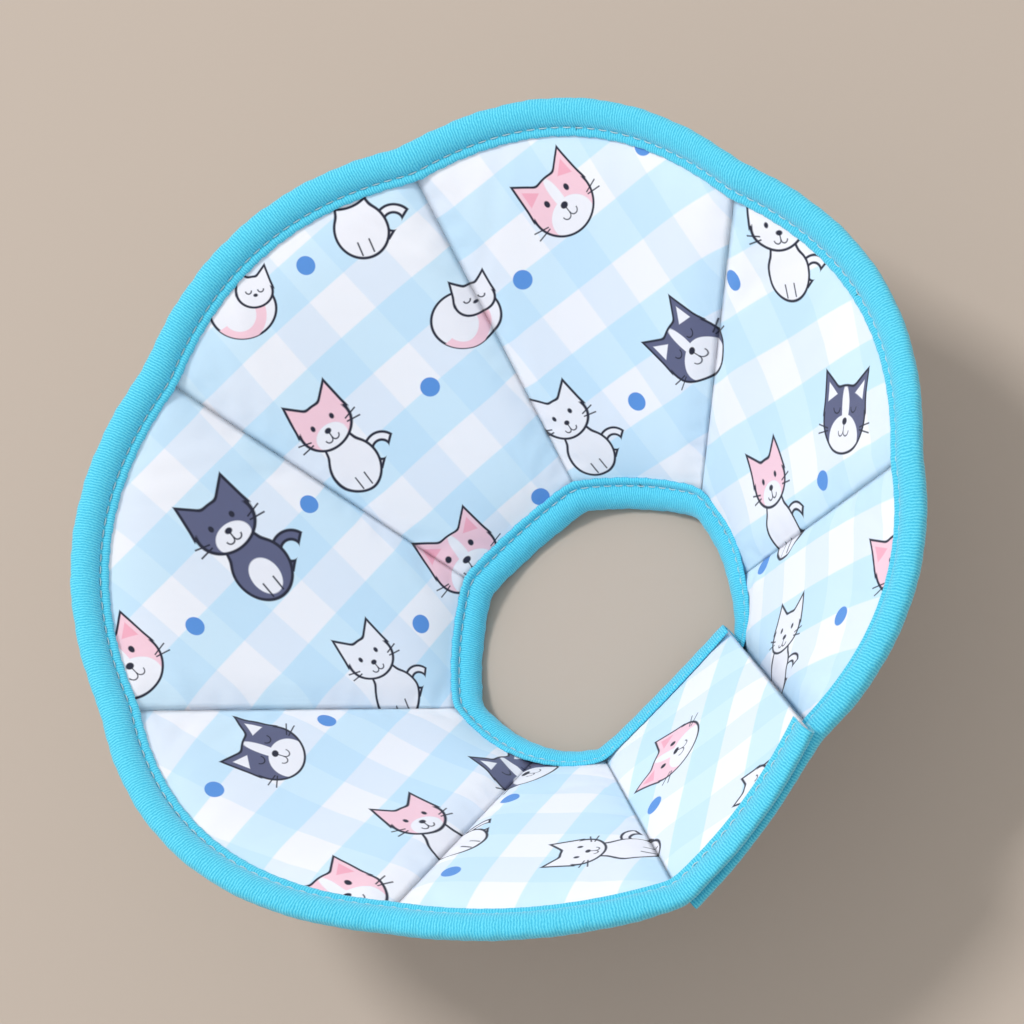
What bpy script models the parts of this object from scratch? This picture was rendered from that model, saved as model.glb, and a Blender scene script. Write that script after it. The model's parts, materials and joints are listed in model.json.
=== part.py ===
"""Soft padded elizabethan collar (pet cone), closed for wearing.

The collar is a strip of nine quilted panels wrapped into a wide cone and lapped at a
hook-and-loop closure.  Each panel is an inner printed cover, a foam pad and an outer
printed cover, with a knit binding folded over its rim edge and over its neck edge.
The stitched seams between the panels are the hinges that the strip bends on.

Frame: +Z is the cone's axis, wide rim up, the neck ring stands on z = 0, and the
closure faces -Y.  Units are metres.
"""
import bpy
import bmesh
from math import cos, pi, sin
from mathutils import Vector

MM = 0.001

# --- driving dimensions, millimetres -----------------------------------------------
NECK_Z = 10.9             # height of the line where the neck binding meets the fabric
RIM_Z = 80.4              # height of the line where the rim binding meets the fabric
# Seam ends in plan, from seam 2 to seam 4 on the +X side; seams 7 to 5 mirror them.
NECK_SEAMS = [(43.0, -28.5), (50.0, 2.5), (22.0, 33.0)]
RIM_SEAMS = [(89.5, -64.5), (110.5, 31.0), (46.5, 105.5)]
# Seams 1 and 8, either side of the closure: neck end, rim end.
TAB_SEAM = [(27.0, -47.5), (25.0, -108.0)]
FLAP_SEAM = [(-25.0, -45.0), (-28.0, -113.0)]
LAP_PITCH = 6.9           # between the middle surfaces of the flap and of the tab
TAB_TRIM = 7.0            # the tab's hidden neck corner is cut back up the slope
SHIFT = (1.95, -3.68)      # plan shift that centres the whole collar on the origin
# How far the rim end of each line is cut back down its own line, from the tab's end over
# seams 1 to 8 to the flap's end.
RIM_CUTS = [15.0, 12.5, 0.0, 3.0, 1.5, -0.5, -3.0, 0.0, 1.0, 0.0]
# How far each panel's edges bow between its lines, in wrapping order from the tab:
# neck edge outward, rim edge outward, rim edge up the slope.
BOWS = [(0.6, 2.0, 0.0), (2.0, 8.0, 5.0), (3.0, 12.5, 7.5), (4.5, 13.5, 11.5),
        (4.5, 9.0, 11.0), (4.5, 10.0, 11.0), (3.0, 10.5, 13.0), (2.0, 2.5, 5.0),
        (0.6, 2.0, 2.0)]

COVER = 0.6               # thickness of one printed cover
SKIN_GAP = 0.3            # clearance between touching layers
EDGE_PAD = 2.8            # quilt thickness at a stitched seam
BAND_PAD = 3.2            # quilt thickness inside a binding
MIDDLE_PAD = 6.4          # quilt thickness in the middle of a panel
LAP_PAD = 4.6             # the same for the two closure panels
SEAM_SETBACK = 1.5        # cover edge to seam line
FOAM_SETBACK = 2.6        # foam edge to seam line

BAND = 11.0               # width of a binding, measured up the slope
BAND_WALL = 1.2           # knit thickness, doubled over
BAND_HALF = 3.1           # half of the binding's overall thickness
BAND_TAPER = 2.0          # run over which the folded band thins to its edge on the fabric
BAND_LIP = 0.6            # what is left of its thickness at that edge
FOLD_INSIDE = 0.9         # from the fold's inner tip to where the pocket is full height
FOLD_TIP = 0.05           # the tip's own clearance
TUCK_GAP = 1.2            # between the fold of a binding and the covers tucked into it
FOAM_TUCK = 1.0           # the foam stops this much before the covers do
BAND_SETBACK = 1.9        # binding end to seam line
CORNER_SETBACK = 2.8      # the same at the neck where the flap folds back
TAPE_HALF_WIDTH = 17.0    # hook and loop tapes: half of their length up the slope
TAPE_THICK = 0.6
TAPE_START = 0.30         # share of the panel's width where a tape starts
TAPE_SPAN = 0.40          # share of the width that it covers
TAPE_STEPS = 4            # mesh steps along each side of a tape

PANEL_STEPS = 8           # mesh steps from seam to seam
SLOPE_STEPS = 4           # mesh steps between the neck and rim bindings
ROLL_STEPS = 4            # mesh steps in each quarter of a binding's round edge
FLOOR = 0.0               # the neck roll is pressed flat where it would pass this height

PANEL_NAMES = ["tab", "panel_1", "panel_2", "panel_3", "panel_4",
               "panel_5", "panel_6", "panel_7", "flap"]

COLOURS = {
    "inner_cover": (0.62, 0.80, 0.95, 0.80),
    "outer_cover": (0.66, 0.82, 0.95, 0.80),
    "foam_pad": (0.92, 0.92, 0.88, 0.95),
    "rim_binding": (0.07, 0.58, 0.78, 0.90),
    "neck_binding": (0.07, 0.58, 0.78, 0.90),
    "hook_tape": (0.80, 0.86, 0.90, 0.85),
    "loop_tape": (0.84, 0.88, 0.92, 0.95),
}


def lift(place, height):
    """Point over a place in plan."""
    return Vector((place[0] + SHIFT[0], place[1] + SHIFT[1], height))


def seam_points():
    """Neck and rim end of every uncut seam line, seams 1 to 8 in wrapping order."""
    right = list(zip(NECK_SEAMS, RIM_SEAMS))
    left = [((-n[0], n[1]), (-r[0], r[1])) for n, r in reversed(right)]
    plan = [TAB_SEAM] + right + left + [FLAP_SEAM]
    return [(lift(neck, NECK_Z), lift(rim, RIM_Z)) for neck, rim in plan]


def wall_axes(near, far):
    """Slope direction and outward normal of the flat wall between two seam lines."""
    slope = ((near[1] + far[1]) - (near[0] + far[0])).normalized()
    across = ((far[0] + far[1]) - (near[0] + near[1])).normalized()
    outward = across.cross(slope).normalized()
    return slope, outward


def panel_corners():
    """The two seam or end lines of every panel, with the closure lapped."""
    seams = seam_points()
    slope, outward = wall_axes(seams[7], seams[0])
    step = outward * LAP_PITCH
    flap_end = tuple(p - step for p in seams[0])
    tab_end = (seams[7][0] + step + slope * TAB_TRIM, seams[7][1] + step)
    lines = []
    for (neck, rim), cut in zip([tab_end] + seams + [flap_end], RIM_CUTS):
        lines.append((neck, rim - (rim - neck).normalized() * cut))
    return list(zip(lines[:-1], lines[1:]))


class Panel:
    """Middle surface of one quilted panel, from its near line to its far line.

    Its pivot is the neck end of the seam that it turns on, the one on the side of panel_4.
    """

    def __init__(self, name, near, far):
        self.name = name
        self.near, self.far = near, far
        self.slope, self.outward = wall_axes(near, far)
        place = PANEL_NAMES.index(name)
        self.pivot = far[0] if place < 4 else near[0]
        self.neck_bow, self.rim_bow, self.rim_reach = BOWS[place]
        self.middle_pad = LAP_PAD if name in ("tab", "flap") else MIDDLE_PAD
        self.rim_run = (far[1] - near[1]).length
        self.neck_run = (far[0] - near[0]).length

    def edge(self, u, end):
        """Point on the neck (end 0) or rim (end 1) fabric edge at share u of its width."""
        point = self.near[end].lerp(self.far[end], u)
        bow = 4.0 * u * (1.0 - u)
        if end == 0:
            return point + self.outward * (self.neck_bow * bow)
        return point + (self.outward * self.rim_bow + self.slope * self.rim_reach) * bow

    def length(self, u):
        """Length of fabric between the bindings at share u."""
        return (self.edge(u, 1) - self.edge(u, 0)).length

    def at(self, u, s):
        """Point at share u, s millimetres up the slope from the neck fabric edge."""
        neck, rim = self.edge(u, 0), self.edge(u, 1)
        return neck + (rim - neck) * (s / (rim - neck).length)

    def frame(self, u, s):
        """Point, unit normal facing out of the cone, and unit direction up the slope."""
        d = 0.01
        up = (self.at(u, s + 1.0) - self.at(u, s - 1.0)).normalized()
        across = (self.at(min(u + d, 1.0), s) - self.at(max(u - d, 0.0), s)).normalized()
        return self.at(u, s), across.cross(up).normalized(), up

    def thickness(self, u, s):
        """Quilt thickness at share u of the width, s millimetres up the slope."""
        share = min(max(s / self.length(u), 0.0), 1.0)
        across = 1.0 - (2.0 * u - 1.0) ** 4
        along = 1.0 - (2.0 * share - 1.0) ** 4
        crown = BAND_PAD + (self.middle_pad - BAND_PAD) * along
        return EDGE_PAD + (crown - EDGE_PAD) * across

    def clip(self, gap, s_share):
        """Share of the width that a gap in millimetres takes beside a seam."""
        run = self.neck_run + (self.rim_run - self.neck_run) * s_share
        return gap / run


def make_object(panel, kind, verts, faces):
    """One closed, outward-facing mesh object with its own material, origin on the pivot."""
    name = f"{panel.name}_{kind}"
    mesh = bpy.data.meshes.new(name)
    mesh.from_pydata([tuple((v - panel.pivot) * MM) for v in verts], [], faces)
    work = bmesh.new()
    work.from_mesh(mesh)
    bmesh.ops.recalc_face_normals(work, faces=work.faces)
    work.to_mesh(mesh)
    work.free()
    mesh.shade_smooth()
    mesh.set_sharp_from_angle(angle=0.6)
    material = bpy.data.materials.new(name + "_finish")
    material.use_nodes = True
    shader = material.node_tree.nodes["Principled BSDF"]
    red, green, blue, rough = COLOURS[kind]
    shader.inputs["Base Color"].default_value = (red, green, blue, 1.0)
    shader.inputs["Roughness"].default_value = rough
    shader.inputs["Metallic"].default_value = 0.0
    mesh.materials.append(material)
    obj = bpy.data.objects.new(name, mesh)
    obj.location = panel.pivot * MM
    bpy.data.collections["elizabethan_collar"].objects.link(obj)
    return obj


def grid_solid(panel, kind, low, high):
    """Closed slab between two equal grids of points, low[i][j] and high[i][j]."""
    rows, cols = len(low), len(low[0])
    verts = [p for row in low for p in row] + [p for row in high for p in row]
    top = rows * cols
    faces = []
    for i in range(rows - 1):
        for j in range(cols - 1):
            a, b = i * cols + j, (i + 1) * cols + j
            faces.append((a, b, b + 1, a + 1))
            faces.append((top + a, top + a + 1, top + b + 1, top + b))
    ring = [j for j in range(cols)]
    ring += [i * cols + cols - 1 for i in range(1, rows)]
    ring += [(rows - 1) * cols + j for j in range(cols - 2, -1, -1)]
    ring += [i * cols for i in range(rows - 2, 0, -1)]
    for a, b in zip(ring, ring[1:] + ring[:1]):
        faces.append((a, b, top + b, top + a))
    return make_object(panel, kind, verts, faces)


def slope_stations(length, reach):
    """Distances up the slope for the rows of a layer, one inside each binding."""
    between = [length * j / SLOPE_STEPS for j in range(SLOPE_STEPS + 1)]
    return [-reach] + between + [length + reach]


def layer_grid(panel, setback, offset, inset):
    """Grid over a panel; offset(thickness) is the height above its middle surface."""
    reach = BAND - BAND_WALL - TUCK_GAP - inset
    grid = []
    for i in range(PANEL_STEPS + 1):
        row = []
        for j, s in enumerate(slope_stations(panel.length(i / PANEL_STEPS), reach)):
            trim = panel.clip(setback, j / (SLOPE_STEPS + 2))
            u = trim + (1.0 - 2.0 * trim) * i / PANEL_STEPS
            point, normal, _ = panel.frame(u, s)
            row.append(point + normal * offset(panel.thickness(u, s)))
        grid.append(row)
    return grid


def quilt_layers(panel):
    """Inner cover, foam pad and outer cover of one panel."""
    def build(kind, setback, inset, low, high):
        grid_solid(panel, kind, layer_grid(panel, setback, low, inset),
                   layer_grid(panel, setback, high, inset))

    build("inner_cover", SEAM_SETBACK, 0.0,
          lambda t: -t / 2.0, lambda t: -t / 2.0 + COVER)
    build("foam_pad", FOAM_SETBACK, FOAM_TUCK,
          lambda t: -t / 2.0 + COVER + SKIN_GAP, lambda t: t / 2.0 - COVER - SKIN_GAP)
    build("outer_cover", SEAM_SETBACK, 0.0,
          lambda t: t / 2.0 - COVER, lambda t: t / 2.0)


def binding_profile():
    """Folded-over band: (distance in from the outer edge, height), one closed outline."""
    inside = BAND_HALF - BAND_WALL
    full = BAND - BAND_TAPER
    lip = inside + BAND_LIP
    fold = BAND_WALL + FOLD_INSIDE
    turns = [pi / 2.0 * (1.0 - k / ROLL_STEPS) for k in range(2 * ROLL_STEPS + 1)]
    roll = [(BAND_HALF * (1.0 - cos(a)), BAND_HALF * sin(a)) for a in turns]
    outer = [(BAND, lip), (full, BAND_HALF)] + roll + [(full, -BAND_HALF), (BAND, -lip)]
    inner = [(BAND, -inside), (fold, -inside), (BAND_WALL + FOLD_TIP, 0.0),
             (fold, inside), (BAND, inside)]
    return outer + inner


def band_setbacks(name, rim):
    """Gap from the near and the far line of a panel to the ends of its binding."""
    near = CORNER_SETBACK if name == "flap" and not rim else BAND_SETBACK
    far = CORNER_SETBACK if name == "panel_7" and not rim else BAND_SETBACK
    return near, far


def binding(panel, rim):
    """Knit band folded over the rim or the neck edge of one panel."""
    profile = binding_profile()
    verts = []
    near_gap, far_gap = band_setbacks(panel.name, rim)
    start = panel.clip(near_gap, float(rim))
    stop = 1.0 - panel.clip(far_gap, float(rim))
    for i in range(PANEL_STEPS + 1):
        u = start + (stop - start) * i / PANEL_STEPS
        for inward, height in profile:
            s = panel.length(u) + BAND - inward if rim else inward - BAND
            point, normal, _ = panel.frame(u, s)
            point = point + normal * height
            verts.append(Vector((point.x, point.y, max(point.z, FLOOR))))
    size = len(profile)
    faces = []
    for i in range(PANEL_STEPS):
        for k in range(size):
            a, b = i * size + k, i * size + (k + 1) % size
            faces.append((a, b, b + size, a + size))
    faces.append(tuple(range(size)))
    faces.append(tuple(PANEL_STEPS * size + k for k in range(size)))
    return make_object(panel, "rim_binding" if rim else "neck_binding", verts, faces)


def tape(panel, kind, side):
    """Hook or loop tape on the facing side of a closure panel (side +1 is outward)."""
    low, high = [], []
    for i in range(TAPE_STEPS + 1):
        u = TAPE_START + TAPE_SPAN * i / TAPE_STEPS
        row_low, row_high = [], []
        for j in range(TAPE_STEPS + 1):
            side_share = 2.0 * j / TAPE_STEPS - 1.0
            s = panel.length(u) / 2.0 + TAPE_HALF_WIDTH * side_share
            point, normal, _ = panel.frame(u, s)
            rise = panel.thickness(u, s) / 2.0 + SKIN_GAP
            row_low.append(point + normal * side * rise)
            row_high.append(point + normal * side * (rise + TAPE_THICK))
        low.append(row_low)
        high.append(row_high)
    return grid_solid(panel, kind, low, high)


def build():
    """Make the whole collar."""
    for old in list(bpy.data.objects):
        bpy.data.objects.remove(old, do_unlink=True)
    collection = bpy.data.collections.new("elizabethan_collar")
    bpy.context.scene.collection.children.link(collection)
    panels = [Panel(name, near, far)
              for name, (near, far) in zip(PANEL_NAMES, panel_corners())]
    for panel in panels:
        quilt_layers(panel)
        binding(panel, rim=True)
        binding(panel, rim=False)
    tape(panels[0], "loop_tape", -1.0)
    tape(panels[-1], "hook_tape", 1.0)
    return panels


PANELS = build()
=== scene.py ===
"""Looks of the soft padded elizabethan collar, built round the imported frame.

Every quilted panel is a padded piece swollen by a cloth simulation. The knit bindings are
folded bands that bend across the seams. The print is procedural: gingham, dots and generic
cats, laid out on the flat pattern that the strip is cut from.
"""
import json
import math
import bpy
import numpy as np
from mathutils import Matrix, Vector


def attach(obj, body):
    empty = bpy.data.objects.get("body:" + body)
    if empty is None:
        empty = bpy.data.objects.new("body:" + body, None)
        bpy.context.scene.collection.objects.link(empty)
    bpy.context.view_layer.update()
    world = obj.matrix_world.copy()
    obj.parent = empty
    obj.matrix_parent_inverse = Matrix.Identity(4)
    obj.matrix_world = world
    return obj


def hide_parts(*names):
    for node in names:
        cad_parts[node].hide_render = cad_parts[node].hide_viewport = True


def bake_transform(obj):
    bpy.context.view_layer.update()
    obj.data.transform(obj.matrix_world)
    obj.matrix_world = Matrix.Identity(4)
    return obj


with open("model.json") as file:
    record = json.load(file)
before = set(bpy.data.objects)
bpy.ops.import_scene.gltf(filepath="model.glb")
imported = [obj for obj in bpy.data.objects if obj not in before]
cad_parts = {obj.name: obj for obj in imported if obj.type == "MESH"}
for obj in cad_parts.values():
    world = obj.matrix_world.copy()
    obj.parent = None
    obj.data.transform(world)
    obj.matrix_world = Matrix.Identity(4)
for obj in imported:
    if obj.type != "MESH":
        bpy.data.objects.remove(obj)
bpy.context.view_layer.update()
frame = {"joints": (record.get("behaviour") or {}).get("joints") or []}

MM = 0.001

# --- the strip, millimetres: the solids' driving sizes ---------------------------------
PANELS = ["tab", "panel_1", "panel_2", "panel_3", "panel_4",
          "panel_5", "panel_6", "panel_7", "flap"]
RIM_Z = 80.4              # height of the line where the rim binding meets the fabric
LAP_PITCH = 6.9           # between the middle surfaces of the flap and of the tab
TAB_TRIM = 7.0            # the tab's hidden neck corner is cut back up the slope
# Bows of each panel's edges, in wrapping order from the tab:
# neck edge outward, rim edge outward, rim edge up the slope.
BOWS = [(0.6, 2.0, 0.0), (2.0, 8.0, 5.0), (3.0, 12.5, 7.5), (4.5, 13.5, 11.5),
        (4.5, 9.0, 11.0), (4.5, 10.0, 11.0), (3.0, 10.5, 13.0), (2.0, 2.5, 5.0),
        (0.6, 2.0, 2.0)]
# How far the rim end of each line is cut back, from the tab's end to the flap's end. The
# first two are smaller than in the solids, so that the tab's end shows.
RIM_CUTS = [10.0, 12.0, 0.0, 3.0, 1.5, -0.5, -3.0, 0.0, 1.0, 0.0]

# --- padding ---------------------------------------------------------------------------
ACROSS_STEPS = 52         # mesh steps of a quilted panel from seam to seam
SLOPE_STEPS = 66          # mesh steps from neck to rim
TUCK = 8.0                # the cover runs this far into each binding
POCKET_HALF = 1.5         # half thickness inside a binding
CROWN_HALF = 3.0          # half thickness in the middle of a panel before it swells
LAP_HALF = 2.1            # the same for the flap and the tab
FOLD_RUNS = [(0.5, 31.0), (2.2, 37.0), (1.3, 44.0)]   # direction and pitch of long folds
FOLD_HIGH = 0.9           # height of a long fold
PUCKER = 7.5              # pitch of the puckers along a seam
PUCKER_HIGH = 0.22        # their height
SEAM_ROUND = 8.0          # run over which the padding rises from a seam
BAND_RISE = 7.0           # run over which it rises from a binding
SWELL_CAP = 5.2           # the swollen half thickness stays under this
LAP_CAP = 2.6             # the same for the flap and the tab
LAP_FOLDS = 0.4           # share of the folds' height on the flap and the tab

# --- cloth -----------------------------------------------------------------------------
SIM_SCALE = 10.0          # the cloth is simulated this much larger, where it is stable
SIM_FRAMES = 20
PRESSURE = 3.0            # padding pushing the covers apart
LAP_PRESSURE = 1.0        # the same for the flap and the tab
OVERSIZE = -0.018         # shrink factor: the covers are cut this much too large
RISE_ROUNDS = 2           # rounds of evening out the swelling
SLIDE_ROUNDS = 24         # rounds of evening out the creep along the surface
SEAM_KEEP = 9.0           # the creep fades to nothing over this distance to a seam
SEAM_SLOPE = 1.0          # steepest rise of the padding from a seam

# --- bindings --------------------------------------------------------------------------
BAND = 11.0               # width of a binding up the slope
STATION = 0.8             # mesh step along a binding
KINK_SMOOTH = 1.9         # the binding rounds the corners of the rim over this run
LAP_ROLL = 0.66           # the roll is pressed to this share over the flap and the tab
LAP_EASE = 0.3            # share of a panel over which it thins
STITCH = 3.7              # pitch of the topstitching
DASH = 3.0                # length of one visible stitch
THREAD = 0.20             # thread radius
THREAD_SIDES = 6          # sides of a thread's tube
GROOVE = 8.3              # the stitch line's distance in from the binding's outer edge
POCKET_FACE = 1.62        # half thickness of the covers' pocket

# --- print -----------------------------------------------------------------------------
CHECK = 28.0              # gingham repeat
# Where the middle of a light square falls in each panel: seams take up cloth unevenly.
CHECK_PLACE = {"tab": (17.5, 17.6), "panel_1": (17.5, 17.6), "panel_2": (27.3, 20.6),
               "panel_3": (27.8, 9.8), "panel_4": (6.2, 1.1), "panel_5": (16.6, 0.1),
               "panel_6": (21.7, 6.5), "panel_7": (15.2, 5.7), "flap": (0.1, 25.4)}


def unit(v):
    """Rows of v scaled to length one."""
    return v / np.linalg.norm(v, axis=-1, keepdims=True)


def seam_lines():
    """Neck and rim end of seams 1 to 8, from the hinge joints, in millimetres."""
    lines = []
    by_name = {j["name"]: j for j in frame["joints"]}
    for k in range(1, 9):
        joint = by_name[f"seam_{k}"]
        neck = np.array(joint["pos_m"]) / MM
        axis = np.array(joint["axis"])
        lines.append((neck, neck + axis * (RIM_Z - neck[2]) / axis[2]))
    return lines


def wall_axes(near, far):
    """Slope direction and outward normal of the flat wall between two seam lines."""
    slope = unit(near[1] + far[1] - near[0] - far[0])
    across = unit(far[0] + far[1] - near[0] - near[1])
    return slope, unit(np.cross(across, slope))


def strip_lines():
    """The ten lines of the strip before they are cut: tab end, seams 1 to 8, flap end."""
    seams = seam_lines()
    slope, outward = wall_axes(seams[7], seams[0])
    flap_end = tuple(p - outward * LAP_PITCH for p in seams[0])
    tab_end = (seams[7][0] + outward * LAP_PITCH + slope * TAB_TRIM,
               seams[7][1] + outward * LAP_PITCH)
    return [tab_end] + seams + [flap_end]


LINES = strip_lines()


def panel_lines():
    """The two lines of every panel, with their rim ends cut back."""
    cut = [(neck, rim - unit(rim - neck) * back)
           for (neck, rim), back in zip(LINES, RIM_CUTS)]
    return list(zip(cut[:-1], cut[1:]))


class Panel:
    """Middle surface of one quilted panel, for arrays of points."""

    def __init__(self, place, near, far):
        self.place, self.name = place, PANELS[place]
        self.near, self.far = near, far
        self.slope, self.outward = wall_axes(near, far)
        self.neck_bow, self.rim_bow, self.rim_reach = BOWS[place]
        self.lapped = self.name in ("tab", "flap")

    def edge(self, u, end):
        """Neck (end 0) or rim (end 1) fabric edge at shares u of the width."""
        u = u[..., None]
        bow = 4.0 * u * (1.0 - u)
        point = self.near[end] * (1.0 - u) + self.far[end] * u
        if end == 0:
            return point + self.outward * self.neck_bow * bow
        return point + (self.outward * self.rim_bow + self.slope * self.rim_reach) * bow

    def length(self, u):
        """Length of fabric between the bindings at shares u."""
        return np.linalg.norm(self.edge(u, 1) - self.edge(u, 0), axis=-1)

    def width(self, u, s):
        """Distance between the panel's two lines at height s."""
        share = s / self.length(u)
        neck = np.linalg.norm(self.far[0] - self.near[0])
        rim = np.linalg.norm(self.far[1] - self.near[1])
        return neck + (rim - neck) * share

    def at(self, u, s):
        """Points at shares u and s millimetres up the slope from the neck edge."""
        neck = self.edge(u, 0)
        return neck + (self.edge(u, 1) - neck) * (s / self.length(u))[..., None]

    def frame(self, u, s):
        """Points, outward unit normals and unit directions up the slope."""
        d = 0.01
        up = unit(self.at(u, s + 1.0) - self.at(u, s - 1.0))
        across = self.at(np.minimum(u + d, 1.0), s) - self.at(np.maximum(u - d, 0.0), s)
        return self.at(u, s), unit(np.cross(unit(across), up)), up


STRIP = [Panel(i, near, far) for i, (near, far) in enumerate(panel_lines())]


def third_corner(a, b, a3, b3, c3, side):
    """Where c lands in the flat, from its distances to a and b."""
    base = np.linalg.norm(b3 - a3)
    from_a, from_b = np.linalg.norm(c3 - a3), np.linalg.norm(c3 - b3)
    along = (from_a ** 2 - from_b ** 2 + base ** 2) / (2.0 * base)
    off = math.sqrt(max(from_a ** 2 - along ** 2, 0.0)) * side
    e = (b - a) / np.linalg.norm(b - a)
    return a + e * along + np.array([-e[1], e[0]]) * off


def unroll():
    """The ten lines laid flat, neck and rim end each, panel_4 upright."""
    near, far = LINES[4], LINES[5]
    neck_half = np.linalg.norm(far[0] - near[0]) / 2.0
    rim_half = np.linalg.norm(far[1] - near[1]) / 2.0
    rise = np.linalg.norm((near[1] + far[1] - near[0] - far[0]) / 2.0)
    flat = {4: (np.array([neck_half, 0.0]), np.array([rim_half, rise])),
            5: (np.array([-neck_half, 0.0]), np.array([-rim_half, rise]))}
    for k in range(6, 10):
        a, b = flat[k - 1]
        near = LINES[k - 1]
        flat[k] = tuple(third_corner(a, b, near[0], near[1], c, 1) for c in LINES[k])
    for k in range(3, -1, -1):
        a, b = flat[k + 1]
        far = LINES[k + 1]
        flat[k] = tuple(third_corner(a, b, far[0], far[1], c, -1) for c in LINES[k])
    return flat


FLAT = unroll()


def on_pattern(place, u, s):
    """Points of the flat pattern, millimetres, for shares u and heights s of a panel."""
    u = u[..., None]
    neck = FLAT[place][0] * (1.0 - u) + FLAT[place + 1][0] * u
    rim = FLAT[place][1] * (1.0 - u) + FLAT[place + 1][1] * u
    return neck + unit(rim - neck) * s[..., None]


# --- materials -------------------------------------------------------------------------

def srgb(red, green, blue):
    """Linear colour from 0 to 255 display values."""
    def linear(c):
        c /= 255.0
        return c / 12.92 if c <= 0.04045 else ((c + 0.055) / 1.055) ** 2.4
    return (linear(red), linear(green), linear(blue), 1.0)


class Nodes:
    """Short calls for building a node tree."""

    def __init__(self, tree):
        self.tree = tree

    def add(self, kind, **settings):
        node = self.tree.nodes.new(kind)
        for key, value in settings.items():
            setattr(node, key, value)
        return node

    def feed(self, socket, value):
        if isinstance(value, bpy.types.NodeSocket):
            self.tree.links.new(value, socket)
        else:
            socket.default_value = value

    def math(self, operation, a, b=None, c=None, clamp=False):
        node = self.add("ShaderNodeMath", operation=operation, use_clamp=clamp)
        for socket, value in zip(node.inputs, (a, b, c)):
            if value is not None:
                self.feed(socket, value)
        return node.outputs[0]

    def vector(self, operation, a, b=None, scale=None):
        node = self.add("ShaderNodeVectorMath", operation=operation)
        self.feed(node.inputs[0], a)
        if b is not None:
            self.feed(node.inputs[1], b)
        if scale is not None:
            self.feed(node.inputs["Scale"], scale)
        scalar = operation in ("LENGTH", "DOT_PRODUCT", "DISTANCE")
        return node.outputs["Value"] if scalar else node.outputs["Vector"]

    def mix(self, share, a, b):
        node = self.add("ShaderNodeMix", data_type="RGBA")
        self.feed(node.inputs[0], share)
        self.feed(node.inputs[6], a)
        self.feed(node.inputs[7], b)
        return node.outputs[2]


def new_material(name, roughness, sheen=0.0, sheen_roughness=0.5):
    """A Principled material, its tree and its shader."""
    material = bpy.data.materials.new(name)
    material.use_nodes = True
    shader = material.node_tree.nodes["Principled BSDF"]
    shader.inputs["Roughness"].default_value = roughness
    shader.inputs["Specular IOR Level"].default_value = 0.3
    shader.inputs["Sheen Weight"].default_value = sheen
    shader.inputs["Sheen Roughness"].default_value = sheen_roughness
    return material, Nodes(material.node_tree), shader


def bump(n, shader, height, distance, strength=1.0):
    """Bends the shader's normal by a height; distance is metres per unit of it."""
    node = n.add("ShaderNodeBump")
    node.inputs["Strength"].default_value = strength
    node.inputs["Distance"].default_value = distance
    n.feed(node.inputs["Height"], height)
    n.feed(shader.inputs["Normal"], node.outputs["Normal"])


def place_on(n, map_name):
    """The flat coordinates of a surface, in millimetres."""
    uv = n.add("ShaderNodeUVMap", uv_map=map_name)
    return n.vector("SCALE", uv.outputs["UV"], scale=1.0 / MM)


def weave_height(n, point, pitch):
    """Plain weave: crossing threads of the given pitch in millimetres."""
    split = n.add("ShaderNodeSeparateXYZ")
    n.feed(split.inputs[0], point)
    turn = 2.0 * math.pi / pitch
    wave_x = n.math("SINE", n.math("MULTIPLY", split.outputs["X"], turn))
    wave_y = n.math("SINE", n.math("MULTIPLY", split.outputs["Y"], turn))
    return n.math("MULTIPLY", wave_x, wave_y)


# Knit tones: the darker is painted shade in the rib troughs and the lighter painted highlight on
# the crests; the fuzz noise also spreads them as random tone.
KNIT_FUZZ_AND_RIB_SHADE = srgb(48, 182, 222)
KNIT_FUZZ_AND_RIB_HIGHLIGHT = srgb(116, 231, 253)
# The first thread tone is painted shade for the twist's grooves; the pale one is the thread's own
# colour.
THREAD_TWIST_SHADE = srgb(170, 222, 236)
THREAD_PALE = srgb(232, 248, 252)
LOOP_TONE = srgb(233, 239, 247)
HOOK_TONE = srgb(226, 234, 244)
FLOOR_TONE = srgb(186, 173, 161)
WEAVE_PITCH = 0.42        # of the cotton's threads
RIB_PITCH = 0.78          # of the knit
TWIST_PITCH = 0.35        # of the thread
LOOP_PITCH = 0.5          # of the loop tape's tufts
HOOK_PITCH = 0.9          # of the hook tape's hooks

WHITE = srgb(247, 248, 255)
LILAC = srgb(230, 240, 254)
SKY = srgb(212, 238, 255)
DEEP_SKY = srgb(203, 233, 254)
DOT_BLUE = srgb(92, 150, 224)


def gingham(n, point, name):
    """Pastel gingham colour on the flat pattern."""
    split = n.add("ShaderNodeSeparateXYZ")
    place = CHECK_PLACE[name]
    n.feed(split.inputs[0], n.vector("SUBTRACT", point, (place[0], place[1], 0.0)))
    band = []
    for axis in "XY":
        wave = n.math("COSINE", n.math("MULTIPLY", split.outputs[axis], 2 * math.pi / CHECK))
        band.append(n.math("MULTIPLY_ADD", wave, 9.0, 0.5, clamp=True))
    plain = n.mix(band[0], LILAC, WHITE)
    blue = n.mix(band[0], DEEP_SKY, SKY)
    return n.mix(band[1], blue, plain)


# --- printed cats ----------------------------------------------------------------------
# A shape is a signed distance in millimetres, negative inside, built from math nodes.

INK = srgb(38, 40, 58)
PINK = srgb(250, 208, 222)
SLATE = srgb(96, 100, 132)
CREAM = srgb(244, 244, 252)
BLUSH = srgb(247, 176, 196)
LINE = 0.34               # half width of the drawn outline
SOFT = 3.2                # sharpness of printed edges, per millimetre


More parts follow.
